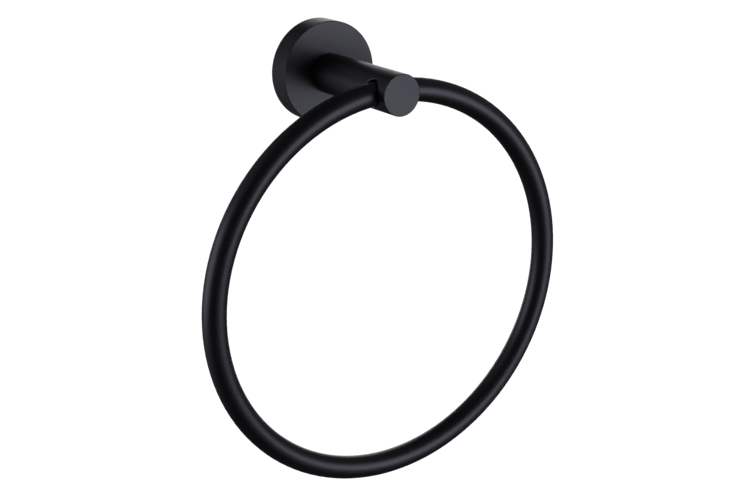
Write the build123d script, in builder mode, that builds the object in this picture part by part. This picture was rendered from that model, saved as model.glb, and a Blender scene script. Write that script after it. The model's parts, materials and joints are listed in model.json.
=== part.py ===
"""Wall-mounted towel ring: a round rod ring hangs through a cross-drilled post on a round flange cover."""

import os
from math import radians, sqrt, tan

from build123d import *

# Driving dimensions in millimetres. The wall is the plane Y = 0, the room is on its -Y side and Z is up.

# Ring: one rod, bent round and butt-welded into a closed hoop
ring_outer_diameter = 178.0
rod_diameter = 10.0

# Post: a turned bar with one cross hole, which the ring passes through
post_diameter = 17.5
post_reach = 66.5
post_end_radius = 0.3
hole_diameter = 10.7
hole_setback = 10.0
hole_edge_radius = 0.5
ring_seat_clearance = 0.1

# Flange cover: a shallow turned cup, open towards the wall
flange_diameter = 45.0
flange_depth = 11.0
flange_face_thickness = 2.5
flange_rim_thickness = 2.5
flange_edge_radius = 0.3
flange_cavity_radius = 1.0

# Screw that clamps the post to the cover from behind
screw_diameter = 6.0
screw_length = 14.0
screw_tip_chamfer = 0.6
screw_head_diameter = 10.5
screw_head_height = 3.3
screw_head_rim = 0.5
screw_head_flat_diameter = 6.0
screw_head_bulge = 0.35
screw_socket_width = 4.0
screw_socket_depth = 2.0
screw_hole_clearance = 0.3
thread_clearance = 0.05
tapped_depth_spare = 3.0
drill_point_angle = 118.0

# Split lock washer under that screw's head
washer_outer_diameter = 11.8
washer_thickness = 1.6
washer_bore_clearance = 0.15
washer_split = 1.0
washer_split_angle = 25.0

# Wall plate: a pressed dish whose flared rim the set screw wedges behind
plate_sheet = 1.5
plate_base_diameter = 31.0
plate_rim_clearance = 0.9
plate_face_clearance = 2.0
plate_bend_radius = 2.0
plate_centre_clearance = 1.0
plate_slot_spacing = 22.0
plate_slot_width = 4.6
plate_slot_length = 6.6

# Set screw in the underside of the cover
set_screw_diameter = 4.0
set_screw_recess = 0.4
set_screw_tip_diameter = 2.0
set_screw_tip_clearance = 0.05
set_screw_depth = 3.5
set_screw_socket_width = 2.0
set_screw_socket_depth = 1.8

# Sizes that follow from those above
rod_radius = rod_diameter / 2
ring_radius = ring_outer_diameter / 2 - rod_radius
post_radius = post_diameter / 2
hole_radius = hole_diameter / 2
hole_y = hole_setback - post_reach
flange_radius = flange_diameter / 2
cavity_radius = flange_radius - flange_rim_thickness
cavity_depth = flange_depth - flange_face_thickness
screw_radius = screw_diameter / 2
screw_head_radius = screw_head_diameter / 2
screw_seat = cavity_depth - washer_thickness
tapped_radius = screw_radius + thread_clearance
tapped_depth = flange_depth + screw_length + tapped_depth_spare
drill_point = tapped_radius / tan(radians(drill_point_angle / 2))
plate_hole_radius = screw_head_radius + plate_centre_clearance
plate_base_radius = plate_base_diameter / 2
plate_rim_radius = cavity_radius - plate_rim_clearance
plate_height = cavity_depth - plate_face_clearance
set_screw_radius = set_screw_diameter / 2

# The ring hangs on the lower edges of the hole's two mouths, where its rod has already begun to drop
mouth_half_span = sqrt(post_radius**2 - hole_radius**2)
rod_drop = ring_radius - sqrt(ring_radius**2 - mouth_half_span**2)
ring_top_z = rod_radius - hole_radius + rod_drop + ring_seat_clearance
ring_centre = (0, hole_y, ring_top_z - ring_radius)

# The set screw's flat tip meets the flare at the edge of the tip that lies farthest from the wall
flare_slope = (plate_rim_radius - plate_base_radius) / plate_height
flare_depth = set_screw_depth + set_screw_tip_diameter / 2
set_screw_tip_z = -(plate_base_radius + flare_slope * flare_depth + set_screw_tip_clearance)
set_screw_head_z = set_screw_recess - flange_radius

# Offsets of this plane are depths from the wall, towards the room
wall = Plane.XZ

# Ring
with BuildPart() as ring:
    with BuildSketch(Plane.YZ):
        with Locations((hole_y, ring_top_z)):
            Circle(rod_radius)
    revolve(axis=Axis(ring_centre, (0, 1, 0)))
ring.part.label = "ring"

# Post: bar, rounded end, cross hole with rounded mouths, tapped hole in the rear
with BuildPart() as post:
    with BuildSketch(wall.offset(flange_depth)):
        Circle(post_radius)
    extrude(amount=post_reach - flange_depth)
    fillet(post.faces().sort_by(Axis.Y)[0].edges(), post_end_radius)
    with BuildSketch(Plane.YZ):
        with Locations((hole_y, 0)):
            Circle(hole_radius)
    extrude(amount=post_radius, both=True, mode=Mode.SUBTRACT)
    mouths = post.edges(Select.LAST).filter_by(GeomType.LINE, reverse=True)
    fillet(mouths, hole_edge_radius)
    with BuildSketch(Plane.XY):
        with BuildLine():
            Polyline(
                (0, -flange_depth),
                (tapped_radius, -flange_depth),
                (tapped_radius, -tapped_depth),
                (0, -tapped_depth - drill_point),
                close=True,
            )
        make_face()
    revolve(axis=Axis.Y, mode=Mode.SUBTRACT)
post.part.label = "post"

# Flange cover: turned cup with a centre hole for the screw and a tapped hole in its underside
with BuildPart() as flange_cover:
    with BuildSketch(Plane.XY) as cup:
        with BuildLine():
            Polyline(
                (screw_radius + screw_hole_clearance, -cavity_depth),
                (cavity_radius, -cavity_depth),
                (cavity_radius, 0),
                (flange_radius, 0),
                (flange_radius, -flange_depth),
                (screw_radius + screw_hole_clearance, -flange_depth),
                close=True,
            )
        make_face()
        columns = cup.vertices().group_by(Axis.X)
        fillet(columns[-1].sort_by(Axis.Y)[0], flange_edge_radius)
        fillet(columns[1].sort_by(Axis.Y)[0], flange_cavity_radius)
    revolve(axis=Axis.Y)
    with Locations(Plane(origin=(0, -set_screw_depth, -flange_radius), z_dir=(0, 0, -1))):
        Hole(set_screw_radius + thread_clearance, depth=flange_radius)
flange_cover.part.label = "flange_cover"

# Post screw: button head with a hexagon socket, its thread drawn as a plain shank
with BuildPart() as post_screw:
    with BuildSketch(Plane.XY) as screw_section:
        with BuildLine():
            head_top = -(screw_seat - screw_head_height)
            head_edge = (screw_head_radius, screw_head_rim - screw_seat)
            flat_edge = (screw_head_flat_diameter / 2, head_top)
            shank_end = -(screw_seat + screw_length)
            Polyline((0, head_top), (0, shank_end), (screw_radius, shank_end), (screw_radius, -screw_seat))
            Polyline((screw_radius, -screw_seat), (screw_head_radius, -screw_seat), head_edge)
            SagittaArc(head_edge, flat_edge, -screw_head_bulge)
            Line(flat_edge, (0, head_top))
        make_face()
        shank_corner = screw_section.vertices().group_by(Axis.Y)[0].sort_by(Axis.X)[-1]
        chamfer(shank_corner, screw_tip_chamfer)
    revolve(axis=Axis.Y)
    with BuildSketch(wall.offset(screw_seat - screw_head_height)):
        RegularPolygon(screw_socket_width / 2, 6, major_radius=False)
    extrude(amount=screw_socket_depth, mode=Mode.SUBTRACT)
post_screw.part.label = "post_screw"

# Lock washer, clamped flat, with its slanted split
with BuildPart() as lock_washer:
    with BuildSketch(wall.offset(screw_seat)):
        Circle(washer_outer_diameter / 2)
        Circle(screw_radius + washer_bore_clearance, mode=Mode.SUBTRACT)
    extrude(amount=washer_thickness)
    with BuildSketch(Plane.YZ):
        with Locations((-screw_seat - washer_thickness / 2, 0)):
            Rectangle(2 * washer_thickness, washer_split, rotation=washer_split_angle)
    extrude(amount=washer_outer_diameter / 2, mode=Mode.SUBTRACT)
lock_washer.part.label = "lock_washer"

# Wall plate: sheet dish with a flared rim and two slots for the wall screws
with BuildPart() as wall_plate:
    with BuildSketch(Plane.XY):
        with BuildLine():
            FilletPolyline(
                (plate_hole_radius, 0),
                (plate_base_radius, 0),
                (plate_rim_radius, -plate_height),
                radius=plate_bend_radius,
            )
            offset(amount=plate_sheet, side=Side.RIGHT)
        make_face()
    revolve(axis=Axis.Y)
    with BuildSketch(wall):
        with GridLocations(plate_slot_spacing, 0, 2, 1):
            SlotOverall(plate_slot_length, plate_slot_width)
    extrude(amount=plate_sheet, mode=Mode.SUBTRACT)
wall_plate.part.label = "wall_plate"

# Set screw: headless, with a bevelled tip and a hexagon socket
with BuildPart() as set_screw:
    socket_plane = Plane(origin=(0, -set_screw_depth, set_screw_head_z), z_dir=(0, 0, 1))
    with BuildSketch(socket_plane):
        Circle(set_screw_radius)
    extrude(amount=set_screw_tip_z - set_screw_head_z)
    tip_edge = set_screw.faces().sort_by(Axis.Z)[-1].edges()
    chamfer(tip_edge, set_screw_radius - set_screw_tip_diameter / 2)
    with BuildSketch(socket_plane):
        RegularPolygon(set_screw_socket_width / 2, 6, major_radius=False)
    extrude(amount=set_screw_socket_depth, mode=Mode.SUBTRACT)
set_screw.part.label = "set_screw"

os.makedirs("parts", exist_ok=True)
for piece in (ring, post, flange_cover, post_screw, lock_washer, wall_plate, set_screw):
    export_step(piece.part, f"parts/{piece.part.label}.step")
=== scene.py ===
"""Looks of the towel ring: satin black coating, bare steel fixings, studio light, the photo's viewpoint."""

import json
from math import cos, pi, radians, sin

import bpy
from mathutils import Matrix, Vector


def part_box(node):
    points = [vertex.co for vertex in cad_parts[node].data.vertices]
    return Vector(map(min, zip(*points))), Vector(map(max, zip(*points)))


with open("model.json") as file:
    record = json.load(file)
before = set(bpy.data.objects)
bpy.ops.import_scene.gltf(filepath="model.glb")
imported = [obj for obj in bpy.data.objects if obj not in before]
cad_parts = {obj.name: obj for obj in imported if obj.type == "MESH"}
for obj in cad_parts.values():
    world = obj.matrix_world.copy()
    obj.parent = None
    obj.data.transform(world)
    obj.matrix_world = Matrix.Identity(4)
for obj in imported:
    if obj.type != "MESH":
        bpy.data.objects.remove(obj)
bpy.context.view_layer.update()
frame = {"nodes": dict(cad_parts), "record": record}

# Camera, in metres and degrees. Its sensor's width is in millimetres, and its focal length in pixels
# of the 750 by 500 picture.
IMAGE_WIDTH = 750
SENSOR_WIDTH = 36.0
FOCAL_PIXELS = 1315.75
NEAR_CLIP = 0.01
CAMERA_PLACE = (-0.29174, -0.49385, 0.11719)
CAMERA_AZIMUTH = -32.99
CAMERA_ELEVATION = 19.44
CAMERA_ROLL = -1.07

# Studio: bright soft panels right and left of the camera, a dim one low on the right, two behind the ring,
# broad dim ones on both sides and a faint even fill. Angles are in degrees as seen from the ring's centre,
# lengths in metres, and a level is a radiance. The light is a little cool, and neutral from behind.
LIGHT_TINT = (0.93, 0.935, 1.135)
REAR_TINT = (1.0, 1.0, 1.0)
FILL_LEVEL = 0.053
PANELS = {
    "panel_right": {"azimuth": 31, "elevation": 1, "distance": 0.80, "turn": -2,
                    "width": 0.52, "height": 0.56, "level": 2.55},
    "panel_left": {"azimuth": -109, "elevation": 5, "distance": 0.80, "turn": 15,
                   "width": 0.70, "height": 0.56, "level": 1.55},
    "panel_back": {"azimuth": 144, "elevation": -1, "distance": 2.20, "turn": -15,
                   "width": 1.00, "height": 1.90, "level": 1.60, "tint": REAR_TINT},
    "broad_left": {"azimuth": -120, "elevation": 8, "distance": 0.90, "turn": 6,
                   "width": 1.90, "height": 2.40, "level": 0.14},
    "broad_right": {"azimuth": 68, "elevation": 25, "distance": 0.80, "turn": 2,
                    "width": 2.20, "height": 1.50, "level": 0.095},
    "panel_low": {"azimuth": 31, "elevation": -23, "distance": 1.05, "turn": -9,
                  "width": 1.70, "height": 0.77, "level": 0.25},
    "rear_side": {"azimuth": 168, "elevation": -8, "distance": 1.60, "turn": 0,
                  "width": 0.80, "height": 0.64, "level": 1.50, "tint": REAR_TINT},
}

# Stage: white paper below and all around. Lengths are in metres, and its level is a radiance.
FLOOR_SIZE = 40.0
FLOOR_LEVEL = -0.6
BACKDROP_RADIUS = 8.0
BACKGROUND_LEVEL = 1.1

# Finishes: sizes and depths in metres. Of each pair, the first is taken where a noise is at its low end or
# below, the second where it is at its high end or above. A detail counts the noise's finer layers.
# The roughness of the grain or the marks is added to the slowly changing one.
NOISE_LOW = 0.3
NOISE_HIGH = 0.7

COAT_TONES = ((0.0012, 0.0012, 0.0013), (0.0026, 0.0026, 0.0029))
COAT_ROUGHNESS = (0.385, 0.415)
COAT_GRAIN_ROUGHNESS = (-0.02, 0.02)
COAT_CLOUD_SIZE = 0.018
COAT_CLOUD_DETAIL = 3.0
COAT_GRAIN_SIZE = 0.0007
COAT_GRAIN_DETAIL = 2.0
COAT_GRAIN_DEPTH = 0.000012
COAT_WAVE_SIZE = 0.004
COAT_WAVE_DETAIL = 1.0
COAT_WAVE_DEPTH = 0.00001

PLATED_SHEET = {
    "tone_pair": ((0.40, 0.41, 0.43), (0.60, 0.60, 0.61)),
    "roughness": (0.28, 0.42),
    "mark_roughness": (-0.05, 0.05),
    "cloud_size": 0.009,
    "cloud_detail": 4.0,
    "mark_size": 0.0004,
    "mark_detail": 3.0,
    "mark_depth": 0.000012,
}
SCREW_STEEL = {
    "tone_pair": ((0.30, 0.31, 0.33), (0.52, 0.52, 0.54)),
    "roughness": (0.22, 0.36),
    "mark_roughness": (-0.04, 0.04),
    "cloud_size": 0.003,
    "cloud_detail": 3.0,
    "mark_size": 0.0003,
    "mark_detail": 2.0,
    "mark_depth": 0.000008,
}

# Squeeze of the marks' pattern along X, Y and Z. The smaller it is, the longer the marks run that way.
ROLLED_ALONG_X = (0.04, 1.0, 1.0)
TURNED_ABOUT_Y = (0.2, 1.0, 0.2)
TURNED_ABOUT_Z = (0.2, 0.2, 1.0)


def direction(azimuth, elevation):
    """Unit vector from the object towards a place at that azimuth (0 is the room side) and elevation."""
    a, e = radians(azimuth), radians(elevation)
    return Vector((sin(a) * cos(e), -cos(a) * cos(e), sin(e)))


def looking(back):
    """Rotation of a camera or lamp whose back points along the given direction, with no roll."""
    return (-back).to_track_quat("-Z", "Y").to_matrix().to_4x4()


def add_camera():
    """The photo's viewpoint."""
    data = bpy.data.cameras.new("photo_view")
    data.sensor_width = SENSOR_WIDTH
    data.lens = FOCAL_PIXELS / IMAGE_WIDTH * SENSOR_WIDTH
    data.clip_start = NEAR_CLIP
    camera = bpy.data.objects.new("photo_view", data)
    aim = looking(direction(CAMERA_AZIMUTH, CAMERA_ELEVATION))
    roll = Matrix.Rotation(radians(CAMERA_ROLL), 4, "Z")
    camera.matrix_world = Matrix.Translation(CAMERA_PLACE) @ aim @ roll
    bpy.context.scene.collection.objects.link(camera)
    bpy.context.scene.camera = camera


def add_panel(name, azimuth, elevation, distance, turn, width, height, level, target, tint=LIGHT_TINT):
    """A soft rectangular light that faces the target. The level is its radiance."""
    data = bpy.data.lights.new(name, "AREA")
    data.shape = "RECTANGLE"
    data.size = width
    data.size_y = height
    data.energy = level * pi * data.size * data.size_y
    data.color = tint
    lamp = bpy.data.objects.new(name, data)
    back = direction(azimuth, elevation)
    roll = Matrix.Rotation(radians(turn), 4, "Z")
    lamp.matrix_world = Matrix.Translation(target + distance * back) @ looking(back) @ roll
    lamp.visible_camera = False
    bpy.context.scene.collection.objects.link(lamp)


def add_fill():
    """Faint even light from all around."""
    world = bpy.data.worlds.new("studio")
    world.use_nodes = True
    background = world.node_tree.nodes["Background"]
    background.inputs["Color"].default_value = (*LIGHT_TINT, 1.0)
    background.inputs["Strength"].default_value = FILL_LEVEL
    bpy.context.scene.world = world


def white_paper():
    """Paper that is evenly white in the picture."""
    material = bpy.data.materials.new("white_paper")
    material.use_nodes = True
    nodes = material.node_tree.nodes
    nodes.clear()
    glow = nodes.new("ShaderNodeEmission")
    glow.inputs["Strength"].default_value = BACKGROUND_LEVEL
    output = nodes.new("ShaderNodeOutputMaterial")
    material.node_tree.links.new(glow.outputs["Emission"], output.inputs["Surface"])
    return material


def only_seen_by_camera(thing):
    """A stage piece that shows behind the object and neither lights it nor shades it."""
    thing.visible_diffuse = False
    thing.visible_glossy = False
    thing.visible_transmission = False
    thing.visible_shadow = False


def add_stage():
    """Floor and backdrop of the same white paper."""
    paper = white_paper()
    bpy.ops.mesh.primitive_plane_add(size=FLOOR_SIZE, location=(0, 0, FLOOR_LEVEL))
    floor = bpy.context.object
    floor.name = "floor"
    bpy.ops.mesh.primitive_uv_sphere_add(radius=BACKDROP_RADIUS)
    backdrop = bpy.context.object
    backdrop.name = "backdrop"
    for thing in (floor, backdrop):
        thing.data.materials.append(paper)
        only_seen_by_camera(thing)


def new_surface(name):
    """A new material, its node tree and its Principled surface."""
    material = bpy.data.materials.new(name)
    material.use_nodes = True
    return material, material.node_tree, material.node_tree.nodes["Principled BSDF"]


def place(tree, squeeze=None):
    """The point on the part in metres, squeezed along its axes where the marks run one way."""
    point = tree.nodes.new("ShaderNodeTexCoord").outputs["Object"]
    if squeeze is None:
        return point
    mapping = tree.nodes.new("ShaderNodeMapping")
    mapping.inputs["Scale"].default_value = squeeze
    tree.links.new(point, mapping.inputs["Vector"])
    return mapping.outputs["Vector"]


def noise(tree, point, size, detail):
    """Noise from 0 to 1 whose largest features are about that size in metres."""
    texture = tree.nodes.new("ShaderNodeTexNoise")
    texture.inputs["Scale"].default_value = 1 / size
    texture.inputs["Detail"].default_value = detail
    tree.links.new(point, texture.inputs["Vector"])
    return texture.outputs["Fac"]


def spread(tree, value, low, high):
    """Maps the noise's middle range onto low to high."""
    ramp = tree.nodes.new("ShaderNodeMapRange")
    ramp.inputs["From Min"].default_value = NOISE_LOW
    ramp.inputs["From Max"].default_value = NOISE_HIGH
    ramp.inputs["To Min"].default_value = low
    ramp.inputs["To Max"].default_value = high
    tree.links.new(value, ramp.inputs["Value"])
    return ramp.outputs["Result"]


def tones(tree, value, dark, light):
    """Blends two colours over the noise's middle range."""
    ramp = tree.nodes.new("ShaderNodeValToRGB")
    ends = zip(ramp.color_ramp.elements, (NOISE_LOW, NOISE_HIGH), (dark, light))
    for element, position, colour in ends:
        element.position = position
        element.color = (*colour, 1.0)
    tree.links.new(value, ramp.inputs["Fac"])
    return ramp.outputs["Color"]


def added(tree, first, second):
    """Sum of two values."""
    total = tree.nodes.new("ShaderNodeMath")
    total.operation = "ADD"
    tree.links.new(first, total.inputs[0])
    tree.links.new(second, total.inputs[1])
    return total.outputs["Value"]


def relief(tree, height, depth, under=None):
    """Bump of that depth in metres, laid over another bump where one is given."""
    bump = tree.nodes.new("ShaderNodeBump")
    bump.inputs["Distance"].default_value = depth
    tree.links.new(height, bump.inputs["Height"])
    if under is not None:
        tree.links.new(under, bump.inputs["Normal"])
    return bump.outputs["Normal"]


def black_coat():
    """Baked satin coating: a fine even grain over a faint wave, with slow changes of tone and gloss."""
    material, tree, surface = new_surface("satin_black_coat")
    point = place(tree)
    cloud = noise(tree, point, COAT_CLOUD_SIZE, COAT_CLOUD_DETAIL)
    grain = noise(tree, point, COAT_GRAIN_SIZE, COAT_GRAIN_DETAIL)
    wave = noise(tree, point, COAT_WAVE_SIZE, COAT_WAVE_DETAIL)
    tree.links.new(tones(tree, cloud, *COAT_TONES), surface.inputs["Base Color"])
    slow = spread(tree, cloud, *COAT_ROUGHNESS)
    fine = spread(tree, grain, *COAT_GRAIN_ROUGHNESS)
    tree.links.new(added(tree, slow, fine), surface.inputs["Roughness"])
    waves = relief(tree, wave, COAT_WAVE_DEPTH)
    tree.links.new(relief(tree, grain, COAT_GRAIN_DEPTH, under=waves), surface.inputs["Normal"])
    return material


def bare_steel(name, squeeze, tone_pair, roughness, mark_roughness,
               cloud_size, cloud_detail, mark_size, mark_detail, mark_depth):
    """Steel with fine marks that run one way, under a tone and gloss that change in patches."""
    material, tree, surface = new_surface(name)
    cloud = noise(tree, place(tree), cloud_size, cloud_detail)
    marks = noise(tree, place(tree, squeeze), mark_size, mark_detail)
    surface.inputs["Metallic"].default_value = 1.0
    tree.links.new(tones(tree, cloud, *tone_pair), surface.inputs["Base Color"])
    slow = spread(tree, cloud, *roughness)
    fine = spread(tree, marks, *mark_roughness)
    tree.links.new(added(tree, slow, fine), surface.inputs["Roughness"])
    tree.links.new(relief(tree, marks, mark_depth), surface.inputs["Normal"])
    return material


coat = black_coat()
turned_about_y = bare_steel("turned_steel_along_y", TURNED_ABOUT_Y, **SCREW_STEEL)
turned_about_z = bare_steel("turned_steel_along_z", TURNED_ABOUT_Z, **SCREW_STEEL)
finishes = {
    "ring": coat,
    "post": coat,
    "flange_cover": coat,
    "wall_plate": bare_steel("pressed_plated_steel", ROLLED_ALONG_X, **PLATED_SHEET),
    "post_screw": turned_about_y,
    "lock_washer": turned_about_y,
    "set_screw": turned_about_z,
}
for subpart in frame["record"]["subparts"]:
    node = frame["nodes"][subpart["node"]]
    node.data.materials.clear()
    node.data.materials.append(finishes[subpart["node"]])

ring_low, ring_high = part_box("ring")
ring_centre = (ring_low + ring_high) / 2
add_camera()
for panel_name, panel in PANELS.items():
    add_panel(panel_name, **panel, target=ring_centre)
add_fill()
add_stage()
# Plain colours, with no film curve, so that the paper is white
bpy.context.scene.view_settings.view_transform = "Standard"
